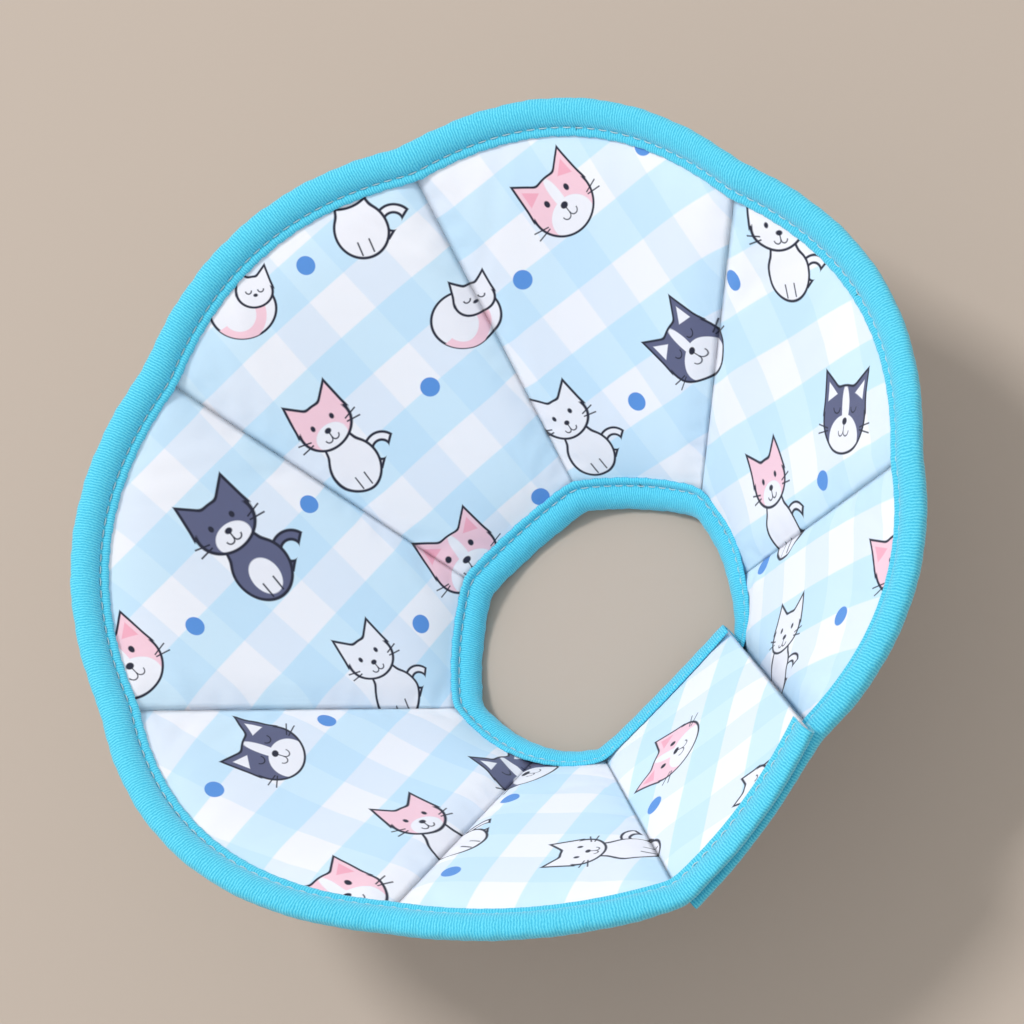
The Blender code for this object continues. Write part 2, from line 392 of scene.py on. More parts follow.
class Drawing:
    """Layers flat shapes of colour onto a base, in one motif's own coordinates."""

    def __init__(self, n, point, base):
        self.n, self.point, self.colour = n, point, base
        split = n.add("ShaderNodeSeparateXYZ")
        n.feed(split.inputs[0], point)
        join = n.add("ShaderNodeCombineXYZ")
        n.feed(join.inputs[0], n.math("ABSOLUTE", split.outputs["X"]))
        n.feed(join.inputs[1], split.outputs["Y"])
        self.mirrored = join.outputs[0]

    def local(self, centre, turn, both):
        """The point moved to a shape's centre and turned, mirrored left to right or not."""
        moved = self.n.vector("SUBTRACT", self.mirrored if both else self.point,
                              (centre[0], centre[1], 0.0))
        if not turn:
            return moved
        node = self.n.add("ShaderNodeVectorRotate", rotation_type="Z_AXIS")
        self.n.feed(node.inputs["Vector"], moved)
        node.inputs["Angle"].default_value = -math.radians(turn)
        return node.outputs[0]

    def oval(self, centre, size, turn=0.0, both=False):
        """Oval with the given half sizes."""
        spot = self.local(centre, turn, both)
        spread = self.n.vector("MULTIPLY", spot, (1.0 / size[0], 1.0 / size[1], 0.0))
        reach = self.n.math("SUBTRACT", self.n.vector("LENGTH", spread), 1.0)
        return self.n.math("MULTIPLY", reach, min(size))

    def bar(self, centre, half, thick, turn=0.0, both=False):
        """Straight stroke with round ends."""
        spot = self.n.vector("ABSOLUTE", self.local(centre, turn, both))
        spot = self.n.vector("SUBTRACT", spot, (half, 0.0, 0.0))
        spot = self.n.vector("MAXIMUM", spot, (0.0, 0.0, 0.0))
        spot = self.n.vector("MULTIPLY", spot, (1.0, 1.0, 0.0))
        return self.n.math("SUBTRACT", self.n.vector("LENGTH", spot), thick)

    def ear(self, centre, half, turn, both=True):
        """Rounded triangle pointing along +Y of its own turn."""
        spot = self.local(centre, turn, both)
        split = self.n.add("ShaderNodeSeparateXYZ")
        self.n.feed(split.inputs[0], spot)
        side = self.n.math("MULTIPLY", self.n.math("ABSOLUTE", split.outputs["X"]), 0.88)
        slant = self.n.math("MULTIPLY_ADD", split.outputs["Y"], 0.47, side)
        slant = self.n.math("SUBTRACT", slant, half)
        floor = self.n.math("SUBTRACT", self.n.math("MULTIPLY", split.outputs["Y"], -1.0), half)
        return self.n.math("MAXIMUM", slant, floor)

    def arc(self, centre, radius, thick, above=None, turn=0.0, both=False):
        """Ring, or the part of it on the far side of a line turned about its centre."""
        spot = self.local(centre, turn, both)
        flat = self.n.vector("MULTIPLY", spot, (1.0, 1.0, 0.0))
        away = self.n.math("SUBTRACT", self.n.vector("LENGTH", flat), radius)
        ring = self.n.math("SUBTRACT", self.n.math("ABSOLUTE", away), thick)
        if above is None:
            return ring
        split = self.n.add("ShaderNodeSeparateXYZ")
        self.n.feed(split.inputs[0], spot)
        cut = self.n.math("SUBTRACT", above, split.outputs["Y"])
        return self.n.math("MAXIMUM", ring, cut)

    def join(self, *shapes, soft=0.0):
        """Union of shapes, with soft corners where they meet."""
        result = shapes[0]
        for shape in shapes[1:]:
            if soft:
                result = self.n.math("SMOOTH_MIN", result, shape, soft)
            else:
                result = self.n.math("MINIMUM", result, shape)
        return result

    def within(self, shape, other):
        """The part of a shape that is inside another."""
        return self.n.math("MAXIMUM", shape, other)

    def outline(self, shape, thick=LINE):
        """The line along a shape's edge."""
        return self.n.math("SUBTRACT", self.n.math("ABSOLUTE", shape), thick)

    def paint(self, shape, colour):
        """Lays colour inside a shape."""
        share = self.n.math("MULTIPLY_ADD", shape, -SOFT, 0.5, clamp=True)
        self.colour = self.n.mix(share, self.colour, colour)

    def draw(self, shape, colour, thick=LINE):
        """Fills a shape and inks its outline."""
        self.paint(shape, colour)
        self.paint(self.outline(shape, thick), INK)


def whiskers(d, out, low, reach=2.3):
    """Two whiskers on each cheek."""
    for rise, turn in ((0.9, 14.0), (-0.7, -8.0)):
        d.paint(d.bar((out, low + rise), reach, 0.2, turn, both=True), INK)


def face(d, size, low, closed=False):
    """Eyes, nose and mouth of a plain cat, for a head of the given half width."""
    if closed:
        d.paint(d.arc((size * 0.42, low + size * 0.26), size * 0.15, 0.2, 0.0, 180.0, True), INK)
    else:
        d.paint(d.oval((size * 0.42, low + size * 0.24), (size * 0.085, size * 0.11),
                       both=True), INK)
    d.paint(d.oval((0.0, low - size * 0.12), (size * 0.13, size * 0.10)), INK)
    d.paint(d.bar((0.0, low - size * 0.30), size * 0.12, 0.18, 90.0), INK)
    d.paint(d.arc((size * 0.14, low - size * 0.38), size * 0.14, 0.18, 0.0, 180.0, True), INK)


def cat_head(d, coat, closed=False):
    """Round head with pointed ears, a pale muzzle and whiskers, 23 mm across."""
    skull = d.oval((0.0, -0.6), (10.6, 9.3))
    head = d.join(skull, d.ear((6.7, 6.6), 3.3, -22.0), soft=1.6)
    d.paint(head, coat)
    d.paint(d.within(d.oval((0.0, -5.6), (7.6, 6.2)), head), CREAM)
    d.paint(d.within(d.oval((0.0, 2.2), (1.7, 6.5)), head), CREAM)
    d.paint(d.ear((6.9, 6.9), 1.5, -22.0), BLUSH if coat is PINK else CREAM)
    d.paint(d.outline(head), INK)
    face(d, 10.0, 0.0, closed)
    whiskers(d, 10.8, -3.2)


def sitting_cat(d, coat, body):
    """Cat sitting upright with a round body, two paws and a curled tail."""
    d.draw(d.arc((8.6, -7.6), 3.4, 1.0, -1.2, 40.0), body)
    torso = d.join(d.oval((0.5, -7.0), (6.6, 7.2)), d.oval((0.3, -1.5), (4.2, 5.0)), soft=1.5)
    d.draw(torso, body)
    d.paint(d.within(d.oval((0.2, -8.6), (3.4, 4.4)), torso), CREAM)
    d.paint(d.bar((1.5, -11.4), 1.7, 0.2, 90.0, both=True), INK)
    head = d.join(d.oval((0.0, 5.4), (7.2, 5.9)), d.ear((4.6, 10.4), 2.3, -20.0), soft=1.2)
    d.paint(head, coat)
    d.paint(d.within(d.oval((0.0, 2.2), (4.4, 3.4)), head), CREAM)
    d.paint(d.outline(head), INK)
    face(d, 7.0, 4.9)
    whiskers(d, 7.2, 3.6, 1.7)


def sleeping_cat(d, coat, body):
    """Cat curled into a ball with its head on its paws."""
    ball = d.oval((0.0, -1.4), (10.2, 8.6))
    d.draw(ball, body)
    d.paint(d.within(d.arc((-1.5, -2.6), 6.8, 1.6, 1.0, 200.0), ball), coat)
    head = d.join(d.oval((4.6, 3.0), (5.6, 4.6)), d.ear((1.6, 6.6), 1.9, 20.0, False),
                  d.ear((8.0, 6.6), 1.9, -20.0, False), soft=1.0)
    d.draw(head, body)
    d.paint(d.arc((2.8, 3.6), 0.9, 0.2, 0.0, 180.0), INK)
    d.paint(d.arc((6.6, 3.6), 0.9, 0.2, 0.0, 180.0), INK)
    d.paint(d.oval((4.7, 2.0), (0.7, 0.5)), INK)


MOTIFS = {
    "pink_head": lambda d: cat_head(d, PINK),
    "slate_head": lambda d: cat_head(d, SLATE, True),
    "pink_sitter": lambda d: sitting_cat(d, PINK, CREAM),
    "slate_sitter": lambda d: sitting_cat(d, SLATE, SLATE),
    "cream_sitter": lambda d: sitting_cat(d, CREAM, CREAM),
    "sleeper": lambda d: sleeping_cat(d, PINK, CREAM),
    "dot": lambda d: d.paint(d.oval((0.0, 0.0), (2.9, 2.9)), DOT_BLUE),
}

# Scale of a motif where it is not 1.
SIZES = {"slate_sitter": 1.35, "pink_sitter": 1.18, "cream_sitter": 1.08}

# The print on each panel: motif, then across and up in the flat pattern, turn in degrees.
LAYOUT = {
    "panel_4": [("dot", 9, 50, 0), ("dot", 12, 2, 0), ("pink_sitter", -23, 56, -7),
                ("sleeper", 31, 60, -18), ("pink_head", -18, 4, -4), ("sleeper", -17, 105, -30),
                ("pink_sitter", 28, 106, -20), ("dot", 6, 101, 0)],
    "panel_3": [("dot", 51, 57, 0), ("dot", 56, 8, 0), ("dot", 108, 66, 0),
                ("pink_head", 75, 68, 4), ("slate_head", 83, 12, 20), ("cream_sitter", 33, 11, -6),
                ("sleeper", 31, 60, -18)],
    "panel_2": [("dot", 109, 22, 0), ("dot", 120, -44, 0), ("slate_head", 135, -31, -20),
                ("cream_sitter", 130, 23, -15), ("pink_sitter", 92, -41, 2),
                ("slate_head", 83, 12, 20)],
    "panel_1": [("dot", 133, -89, 0), ("dot", 78, -55, 0), ("pink_head", 158, -78, 20),
                ("cream_sitter", 101, -90, -2), ("pink_sitter", 92, -41, 2)],
    "panel_5": [("dot", -42, 49, 0), ("dot", -96, 48, 0), ("dot", -43, 0, 0),
                ("slate_sitter", -66, 55, -8), ("cream_sitter", -65, -1, -12),
                ("pink_head", -120, 55, -10), ("pink_head", -18, 4, -4)],
    "panel_6": [("dot", -138, 14, 0), ("dot", -92, 2, 0), ("slate_head", -115, 8, 18),
                ("pink_sitter", -118, -46, -21), ("pink_head", -158, -38, -20),
                ("slate_head", -72, -54, -20)],
    "panel_7": [("dot", -92, -58, 0), ("dot", -140, -60, 0), ("cream_sitter", -128, -101, 11),
                ("slate_head", -72, -54, -20), ("pink_sitter", -118, -46, -21)],
    "flap": [("dot", -104, -109, 0), ("pink_head", -84, -112, -13),
             ("sleeper", -133, -157, -12), ("cream_sitter", -128, -101, 11)],
    "tab": [("dot", 70, -110, 0), ("dot", 118, -140, 0), ("pink_head", 92, -122, 0)],
}


def motif_group(kind):
    """Node group that prints one motif over a colour, in millimetres round its centre."""
    tree = bpy.data.node_groups.new(f"motif_{kind}", "ShaderNodeTree")
    tree.interface.new_socket("Point", in_out="INPUT", socket_type="NodeSocketVector")
    tree.interface.new_socket("Under", in_out="INPUT", socket_type="NodeSocketColor")
    tree.interface.new_socket("Colour", in_out="OUTPUT", socket_type="NodeSocketColor")
    n = Nodes(tree)
    given, out = n.add("NodeGroupInput"), n.add("NodeGroupOutput")
    drawing = Drawing(n, given.outputs["Point"], given.outputs["Under"])
    MOTIFS[kind](drawing)
    n.feed(out.inputs["Colour"], drawing.colour)
    return tree


GROUPS = {kind: motif_group(kind) for kind in MOTIFS}


def stamp(n, point, under, kind, across, up, turn):
    """Prints a motif at its place on the flat pattern."""
    spot = n.vector("SUBTRACT", point, (float(across), float(up), 0.0))
    size = SIZES.get(kind, 1.0)
    if size != 1.0:
        spot = n.vector("MULTIPLY", spot, (1.0 / size, 1.0 / size, 1.0))
    if turn:
        node = n.add("ShaderNodeVectorRotate", rotation_type="Z_AXIS")
        n.feed(node.inputs["Vector"], spot)
        node.inputs["Angle"].default_value = -math.radians(turn)
        spot = node.outputs[0]
    group = n.add("ShaderNodeGroup", node_tree=GROUPS[kind])
    n.feed(group.inputs["Point"], spot)
    n.feed(group.inputs["Under"], under)
    return group.outputs["Colour"]


def print_material(panel):
    """Printed cotton of one panel."""
    material, n, shader = new_material(f"print_{panel.name}", 0.82, 0.12)
    point = place_on(n, "print_map")
    colour = gingham(n, point, panel.name)
    for kind, across, up, turn in LAYOUT[panel.name]:
        colour = stamp(n, point, colour, kind, across, up, turn)
    n.feed(shader.inputs["Base Color"], colour)
    grain = n.add("ShaderNodeTexNoise")
    n.feed(grain.inputs["Vector"], point)
    grain.inputs["Scale"].default_value = 1.6
    grain.inputs["Detail"].default_value = 3.0
    height = n.math("MULTIPLY_ADD", grain.outputs[0], 0.9, weave_height(n, point, WEAVE_PITCH))
    bump(n, shader, height, 0.00004, 0.7)
    return material


def knit_material():
    """Brushed rib knit of the bindings: fine ribs across the band, with painted shade in the rib
    troughs and painted highlight on the crests.
    """
    material, n, shader = new_material("turquoise_knit", 0.9, 0.35, 0.45)
    point = place_on(n, "band_map")
    split = n.add("ShaderNodeSeparateXYZ")
    n.feed(split.inputs[0], point)
    wobble = n.add("ShaderNodeTexNoise")
    n.feed(wobble.inputs["Vector"], point)
    wobble.inputs["Scale"].default_value = 0.5
    wobble.inputs["Detail"].default_value = 2.0
    run = n.math("MULTIPLY_ADD", wobble.outputs[0], 0.9, split.outputs["X"])
    rib = n.math("SINE", n.math("MULTIPLY", run, 2.0 * math.pi / RIB_PITCH))
    fuzz = n.add("ShaderNodeTexNoise")
    n.feed(fuzz.inputs["Vector"], n.vector("MULTIPLY", point, (1.0, 0.45, 1.0)))
    fuzz.inputs["Scale"].default_value = 3.2
    fuzz.inputs["Detail"].default_value = 4.0
    fuzz.inputs["Roughness"].default_value = 0.7
    # Colour follows the rib height, so troughs get painted shade and crests painted highlight; the
    # fuzz noise adds random tone of the knit.
    depth = n.math("MULTIPLY_ADD", rib, 0.22, fuzz.outputs[0])
    tone = n.math("MULTIPLY_ADD", depth, 1.5, -0.28, clamp=True)
    n.feed(shader.inputs["Base Color"], n.mix(tone, KNIT_FUZZ_AND_RIB_SHADE, KNIT_FUZZ_AND_RIB_HIGHLIGHT))
    bump(n, shader, depth, 0.00022, 0.8)
    return material


def thread_material():
    """Pale polyester thread with a twist, with painted shade in the twist's grooves."""
    material, n, shader = new_material("thread", 0.55)
    point = place_on(n, "band_map")
    split = n.add("ShaderNodeSeparateXYZ")
    n.feed(split.inputs[0], point)
    both = n.math("ADD", split.outputs["X"], split.outputs["Y"])
    twist = n.math("SINE", n.math("MULTIPLY", both, 2.0 * math.pi / TWIST_PITCH))
    # Painted shade: the twist's grooves turn darker, the ridges keep the pale thread colour.
    tone = n.math("MULTIPLY_ADD", twist, 0.5, 0.5)
    n.feed(shader.inputs["Base Color"], n.mix(tone, THREAD_TWIST_SHADE, THREAD_PALE))
    bump(n, shader, twist, 0.00005, 0.6)
    return material


def tape_material(name, colour, pitch):
    """Hook or loop tape: a dense pile of tiny tufts, with painted shade in the gaps between them.
    """
    material, n, shader = new_material(name, 0.95, 0.3)
    place = n.add("ShaderNodeTexCoord")
    point = n.vector("SCALE", place.outputs["Object"], scale=1.0 / MM)
    pile = n.add("ShaderNodeTexVoronoi")
    n.feed(pile.inputs["Vector"], point)
    pile.inputs["Scale"].default_value = 1.0 / pitch
    tuft = n.math("MULTIPLY_ADD", pile.outputs["Distance"], -0.6, 1.0, clamp=True)
    # Painted shade: the tape colour darkened to 0.72 in the gaps between tufts, full colour on
    # their tops.
    tuft_gap_shade = tuple(c * 0.72 for c in colour[:3]) + (1.0,)
    n.feed(shader.inputs["Base Color"], n.mix(tuft, tuft_gap_shade, colour))
    bump(n, shader, tuft, 0.0002, 0.8)
    return material


# --- meshes ----------------------------------------------------------------------------

def mesh_piece(name, verts, faces, material, uvs=None, map_name=None, sharp=()):
    """A smooth-shaded mesh object from millimetre points; uvs are one per vertex."""
    mesh = bpy.data.meshes.new(name)
    mesh.from_pydata([tuple(v) for v in np.asarray(verts) * MM], [], faces)
    mesh.materials.append(material)
    mesh.shade_smooth()
    if uvs is not None:
        layer = mesh.uv_layers.new(name=map_name)
        loops = np.zeros(len(mesh.loops), np.int32)
        mesh.loops.foreach_get("vertex_index", loops)
        layer.data.foreach_set("uv", (np.asarray(uvs)[loops] * MM).astype(np.float32).ravel())
    if len(sharp):
        wanted = {tuple(sorted(e)) for e in sharp}
        for edge in mesh.edges:
            if tuple(sorted(edge.vertices)) in wanted:
                edge.use_edge_sharp = True
    obj = bpy.data.objects.new(name, mesh)
    bpy.context.scene.collection.objects.link(obj)
    return obj


def quilt_grid(panel):
    """Shares and heights of a panel's mesh, its half thickness and distance to a seam."""
    u = np.linspace(0.0, 1.0, ACROSS_STEPS + 1)[:, None]
    t = np.linspace(0.0, 1.0, SLOPE_STEPS + 1)[None, :]
    length = panel.length(u[:, 0])[:, None]
    u = np.broadcast_to(u, (ACROSS_STEPS + 1, SLOPE_STEPS + 1))
    s = -TUCK + (length + 2.0 * TUCK) * t
    width = panel.width(u, s)
    from_seam = np.minimum(u, 1.0 - u) * width
    round_run = np.minimum(SEAM_ROUND, width * 0.2)
    rise = np.sin(0.5 * math.pi * np.minimum(from_seam / round_run, 1.0)) ** 0.9
    from_band = np.clip(np.minimum(s, length - s), 0.0, None)
    fill = 1.0 - np.exp(-from_band / BAND_RISE)
    crown = LAP_HALF if panel.lapped else CROWN_HALF
    middle = crown * (0.75 + 0.25 * (1.0 - (2.0 * u - 1.0) ** 2))
    half = rise * (POCKET_HALF + (middle - POCKET_HALF) * fill)
    return u, s, half, from_seam


def folds(panel, u, s, from_seam, seed):
    """Height of the soft folds in a cover: puckers off the seams and a few long ones."""
    flat = on_pattern(panel.place, u, s)
    x, y = flat[..., 0], flat[..., 1]
    drift = 5.0 * np.sin(x * 0.061 + seed) + 4.0 * np.sin(y * 0.083 - 1.7 * seed)
    total = np.zeros_like(s)
    for k, (turn, pitch) in enumerate(FOLD_RUNS):
        turn += 0.4 * math.sin(3.1 * seed + k)
        run = x * math.cos(turn) + y * math.sin(turn) + drift
        cross = y * math.cos(turn) - x * math.sin(turn)
        ridge = (1.0 - np.abs(np.sin(math.pi * run / pitch + seed * (k + 1)))) ** 2.5
        here = np.sin(cross * 0.075 + seed * 2.3 + k) * np.sin(run * 0.047 - seed + 2.0 * k)
        total += ridge * np.clip(here, 0.0, None)
    pucker = np.sin(2.0 * math.pi * s / PUCKER + 2.0 * np.sin(s * 0.11 + seed))
    near_seam = np.exp(-((from_seam - 3.5) / 3.0) ** 2) * (0.6 + 0.4 * np.sin(s * 0.17 + seed))
    inside = np.clip(from_seam / 6.0, 0.0, 1.0)
    return FOLD_HIGH * total * inside + PUCKER_HIGH * pucker * near_seam


def quilt(panel):
    """One padded panel: both covers as a closed pillow, before it swells."""
    u, s, half, from_seam = quilt_grid(panel)
    point, normal, _ = panel.frame(u, s)
    calm = LAP_FOLDS if panel.lapped else 1.0
    rise_in = half + calm * folds(panel, u, s, from_seam, 1.0 + 1.37 * panel.place)
    rise_out = half + calm * folds(panel, u, s, from_seam, 9.0 + 1.61 * panel.place)
    in_band = (s < 0.0) | (s > panel.length(u[:, 0])[:, None])
    rise_in, rise_out = (np.where(in_band, half, r) for r in (rise_in, rise_out))
    inner = point - normal * rise_in[..., None]
    outer = point + normal * rise_out[..., None]
    rows, cols = u.shape
    index_in = np.arange(rows * cols).reshape(rows, cols)
    index_out = index_in + rows * cols
    index_out[0], index_out[-1] = index_in[0], index_in[-1]
    faces = []
    for i in range(rows - 1):
        for j in range(cols - 1):
            faces.append((index_in[i, j], index_in[i, j + 1],
                          index_in[i + 1, j + 1], index_in[i + 1, j]))
            faces.append((index_out[i, j], index_out[i + 1, j],
                          index_out[i + 1, j + 1], index_out[i, j + 1]))
        for j, flip in ((0, False), (cols - 1, True)):
            wall = [index_in[i, j], index_in[i + 1, j], index_out[i + 1, j], index_out[i, j]]
            wall = list(dict.fromkeys(wall))
            faces.append(tuple(reversed(wall)) if flip else tuple(wall))
    verts = np.concatenate([inner.reshape(-1, 3), outer.reshape(-1, 3)])
    flat = on_pattern(panel.place, u, s).reshape(-1, 2)
    uvs = np.concatenate([flat, flat])
    used = sorted({int(v) for f in faces for v in f})
    renumber = {v: i for i, v in enumerate(used)}
    faces = [tuple(renumber[int(v)] for v in f) for f in faces]
    obj = mesh_piece(f"{panel.name}_quilt", verts[used], faces,
                     print_material(panel), uvs[used], "print_map")
    held = (u <= 0.0) | (u >= 1.0) | (s < 0.2) | (s > panel.length(u[:, 0])[:, None] - 0.2)
    held = np.concatenate([held.ravel(), held.ravel()])[used]
    mid = np.concatenate([point.reshape(-1, 3)] * 2)[used]
    norm = np.concatenate([-normal.reshape(-1, 3), normal.reshape(-1, 3)])[used]
    seam = np.concatenate([from_seam.ravel()] * 2)[used]
    return {"panel": panel, "object": obj, "held": held, "middle": mid, "normal": norm,
            "seam": seam}


def set_up_cloth(pad):
    """Pins the seams and bindings of a pad and gives it inflated cotton's settings."""
    obj, lapped = pad["object"], pad["panel"].lapped
    obj.data.transform(Matrix.Scale(SIM_SCALE, 4))
    group = obj.vertex_groups.new(name="held")
    group.add([int(i) for i in np.nonzero(pad["held"])[0]], 1.0, "REPLACE")
    cloth = obj.modifiers.new("swell", "CLOTH")
    settings = cloth.settings
    settings.quality = 8
    settings.mass = 0.3
    settings.tension_stiffness = 15.0
    settings.compression_stiffness = 10.0
    settings.shear_stiffness = 6.0
    settings.bending_stiffness = 1.0
    settings.tension_damping = 15.0
    settings.compression_damping = 15.0
    settings.shear_damping = 15.0
    settings.bending_damping = 2.0
    settings.air_damping = 3.0
    settings.vertex_group_mass = "held"
    settings.use_pressure = True
    settings.uniform_pressure_force = LAP_PRESSURE if lapped else PRESSURE
    settings.shrink_min = 0.0 if lapped else OVERSIZE
    settings.effector_weights.gravity = 0.0
    cloth.collision_settings.use_collision = False
    cloth.point_cache.frame_end = SIM_FRAMES


def settle(obj, values, held, rounds):
    """Evens out a value over the mesh, as padding does under woven cotton."""
    edges = np.zeros(len(obj.data.edges) * 2, np.int32)
    obj.data.edges.foreach_get("vertices", edges)
    edges = edges.reshape(-1, 2)
    count = np.bincount(edges.ravel(), minlength=len(values))[:, None]
    for _ in range(rounds):
        total = np.zeros_like(values)
        np.add.at(total, edges[:, 0], values[edges[:, 1]])
        np.add.at(total, edges[:, 1], values[edges[:, 0]])
        values = np.where(held[:, None], values, 0.5 * (values + total / count))
    return values


def take_cloth(pad):
    """Takes the swollen shape, evens and limits it and drops the modifier."""
    obj = pad["object"]
    evaluated = obj.evaluated_get(bpy.context.evaluated_depsgraph_get())
    start, co = np.zeros((2, len(obj.data.vertices) * 3))
    obj.data.vertices.foreach_get("co", start)
    evaluated.to_mesh().vertices.foreach_get("co", co)
    evaluated.to_mesh_clear()
    start, co = (v.reshape(-1, 3) / SIM_SCALE / MM for v in (start, co))
    rise = np.sum((co - start) * pad["normal"], axis=1)[:, None]
    slide = co - start - pad["normal"] * rise
    rise = settle(obj, rise, pad["held"], RISE_ROUNDS)
    slide = settle(obj, slide, pad["held"], SLIDE_ROUNDS)
    slide *= np.clip(pad["seam"] / SEAM_KEEP, 0.0, 1.0)[:, None]
    co = start + slide + pad["normal"] * rise
    off = co - pad["middle"]
    high = np.sum(off * pad["normal"], axis=1)
    cap = LAP_CAP if pad["panel"].lapped else SWELL_CAP
    soft = cap * np.tanh(np.clip(high, 0.0, None) / cap)
    soft = np.minimum(soft, SEAM_SLOPE * pad["seam"])
    co += pad["normal"] * (soft - high)[:, None]
    obj.modifiers.clear()
    obj.vertex_groups.clear()
    obj.data.vertices.foreach_set("co", (co * MM).astype(np.float32).ravel())
    obj.data.update()


def swell(pads):
    """Runs the cloth of every pad together."""
    scene = bpy.context.scene
    for pad in pads:
        set_up_cloth(pad)
    for number in range(1, SIM_FRAMES + 1):
        scene.frame_set(number)
        bpy.context.evaluated_depsgraph_get().update()
    for pad in pads:
        take_cloth(pad)
    scene.frame_set(1)


# --- bindings --------------------------------------------------------------------------

def smooth_along(values, arc, run):
    """Gaussian mean of rows along an arc length."""
    out = np.empty_like(values)
    for i, here in enumerate(arc):
        near = np.abs(arc - here) < 3.0 * run
        weight = np.exp(-0.5 * ((arc[near] - here) / run) ** 2)
        spread = min(here - arc[0], arc[-1] - here)
        if spread < 3.0 * run:
            weight = weight * (np.abs(arc[near] - here) <= spread + 1e-6)
        out[i] = (values[near] * weight[:, None]).sum(0) / weight.sum()
    return out


def band_path(rim):
    """Stations along the whole rim or neck: place in the strip, frame and arc length."""
    places = []
    end = 1 if rim else 0
    for k in range(len(STRIP)):
        for half in (0.0, 0.5):
            u = np.linspace(half, half + 0.5, 60)
            run = np.linalg.norm(np.diff(STRIP[k].edge(u, end), axis=0), axis=1).sum()
            steps = max(int(math.ceil(run / STATION)), 4)
            places.append(k + half + 0.5 * np.arange(steps) / steps)
    w = np.concatenate(places + [np.array([float(len(STRIP))])])
    points, normals, ups = [], [], []
    for value in w:
        k = min(int(value), len(STRIP) - 1)
        u = np.array([value - k])
        panel = STRIP[k]
        s = panel.length(u) if rim else np.zeros(1)
        point, normal, up = panel.frame(u, s)
        points.append(point[0])
        normals.append(normal[0])
        ups.append(up[0])
    points = np.array(points)
    arc = np.concatenate([[0.0], np.cumsum(np.linalg.norm(np.diff(points, axis=0), axis=1))])
    points = smooth_along(points, arc, KINK_SMOOTH)
    normals = unit(smooth_along(np.array(normals), arc, KINK_SMOOTH))
    ups = unit(smooth_along(np.array(ups), arc, KINK_SMOOTH))
    arc = np.concatenate([[0.0], np.cumsum(np.linalg.norm(np.diff(points, axis=0), axis=1))])
    return {"w": w, "point": points, "normal": normals, "up": ups, "arc": arc,
            "way": 1.0 if rim else -1.0}


def band_profile():
    """Outline of a folded band: distance in from its outer edge, and height.

    From the strip's edge on the outer face, over the groove and round the plump roll, to
    the strip's edge on the inner face, and back through the pocket that holds the covers.
    """
    face = [(11.0, 1.75), (10.75, 2.35), (10.1, 2.65), (9.3, 2.55), (8.75, 2.1), (8.3, 1.85),
            (7.85, 2.15), (7.2, 2.75), (6.2, 3.2), (5.0, 3.4), (3.8, 3.35), (2.7, 3.05),
            (1.7, 2.5), (0.85, 1.75), (0.25, 0.9)]
    back = [(x, -y) for x, y in reversed(face)]
    pocket = [(10.6, -POCKET_FACE), (6.0, -POCKET_FACE), (3.0, -1.3), (2.2, 0.0),
              (3.0, 1.3), (6.0, POCKET_FACE), (10.6, POCKET_FACE)]
    return np.array(face + [(0.0, 0.0)] + back + pocket), len(face) * 2 + 1


def ripple(arc, across, seed):
    """Slow unevenness of hand-folded knit, from -1 to 1."""
    return (np.sin(arc * 0.83 + seed + across * 0.9) * 0.4
            + np.sin(arc * 0.37 + 2.1 * seed - across * 0.5) * 0.35
            + np.sin(arc * 1.71 + 0.7 * seed + across * 1.7) * 0.25)


def band_points(path, rows, inward, height):
    """Points of a band at station rows for distances in and heights."""
    up = path["up"][rows][:, None, :]
    normal = path["normal"][rows][:, None, :]
    lift = (BAND - inward)[..., None] * path["way"]
    return path["point"][rows][:, None, :] + up * lift + normal * height[..., None]


def band_shape(path, rows, outline, seen):
    """Distances in and heights of the outline at each station, with folds and stitches."""
    arc = path["arc"][rows][:, None]
    inward = np.repeat(outline[None, :, 0], len(rows), axis=0)
    height = np.repeat(outline[None, :, 1], len(rows), axis=0)
    roll = np.clip((GROOVE - inward) / GROOVE, 0.0, 1.0) * (np.arange(len(outline)) < seen)
    side = np.sign(height)
    into_lap = np.abs(path["w"][rows] - len(STRIP) / 2.0) - (len(STRIP) / 2.0 - 1.0)
    pressed = np.clip(0.5 + into_lap / LAP_EASE, 0.0, 1.0)[:, None]
    height = height * (1.0 - (1.0 - LAP_ROLL) * pressed * np.minimum(roll * 4.0, 1.0))
    height = height * (1.0 + roll * 0.05 * ripple(arc, inward, 1.3))
    inward = inward - roll * 0.22 * ripple(arc, side, 4.7)
    groove = np.exp(-((inward - GROOVE) / 0.8) ** 2) * (np.arange(len(outline)) < seen)
    dip = 0.5 + 0.5 * np.cos(2.0 * math.pi * arc / STITCH)
    height = height - side * groove * (0.10 + 0.22 * (1.0 - dip))
    edge = np.exp(-((inward - BAND) / 0.7) ** 2) * (np.arange(len(outline)) < seen)
    inward = inward + edge * 0.25 * ripple(arc * 2.3, side, 7.9)
    return inward, height


def seam_span(k):
    """Stretch of the strip that the pieces of seam k cover."""
    return (0.0 if k == 1 else k - 0.5), (len(STRIP) if k == 8 else k + 0.5)


def seam_rows(path, k):
    """Stations of a path that belong to seam k's pieces."""
    low, high = seam_span(k)
    return np.nonzero((path["w"] >= low - 1e-9) & (path["w"] <= high + 1e-9))[0]


def bend_over(piece, k):
    """Bakes the piece's transform into its mesh; the seam's axis and the direction across it are
    worked out but not used.
    """
    seam = STRIP[k].near
    axis = unit(seam[1] - seam[0])
    across = STRIP[k].far[0] + STRIP[k].far[1] - STRIP[k - 1].near[0] - STRIP[k - 1].near[1]
    across = unit(across - axis * np.dot(across, axis))
    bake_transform(piece)


